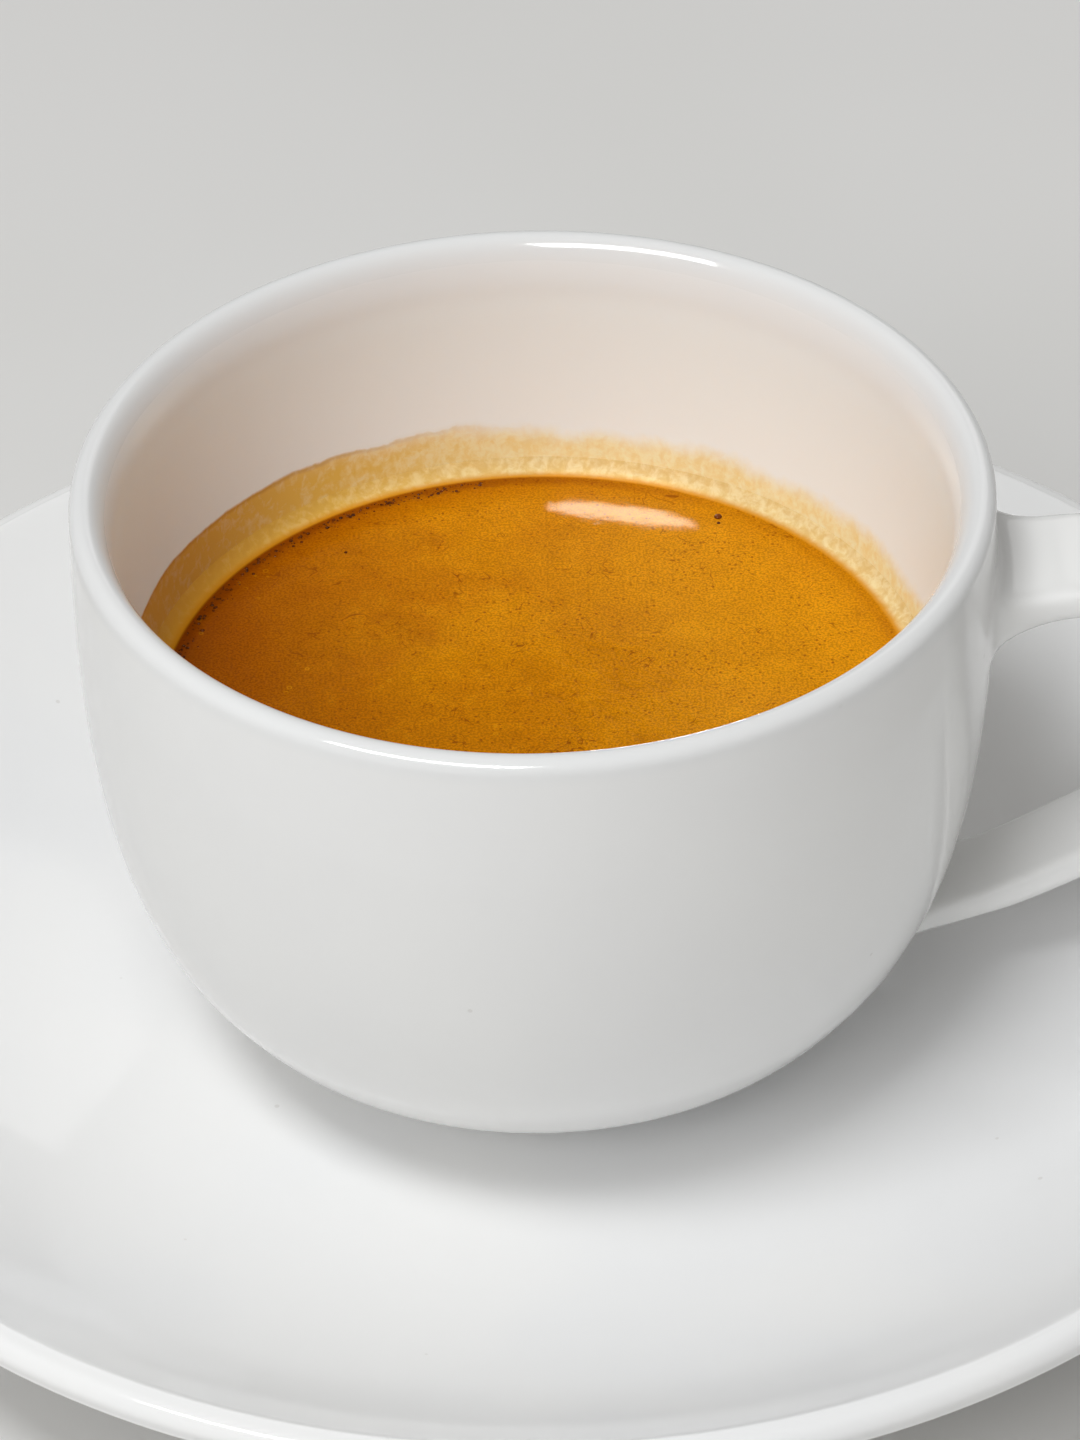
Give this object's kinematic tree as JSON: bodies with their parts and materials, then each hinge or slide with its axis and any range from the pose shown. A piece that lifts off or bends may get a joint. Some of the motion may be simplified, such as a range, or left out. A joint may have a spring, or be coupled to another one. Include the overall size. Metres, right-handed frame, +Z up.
{
  "type": "espresso cup and saucer with coffee",
  "caption": "Round glazed cup with a strap handle, part filled with crema-topped espresso, standing on a coupe saucer.",
  "frame": {"origin": "centre of the saucer's foot ring, on the surface it stands on", "axes": "+Z up along the axis that the cup and saucer share; +X towards the cup's handle"},
  "size_m": [0.134, 0.134, 0.0552],
  "materials": {
    "saucer_glaze": "glossy white glaze",
    "cup_glaze": "glossy white glaze",
    "coffee": "glossy golden brown crema"
  },
  "bodies": {
    "root": {"saucer": "saucer_glaze", "cup": "cup_glaze", "espresso": "coffee"}
  },
  "joints": []
}
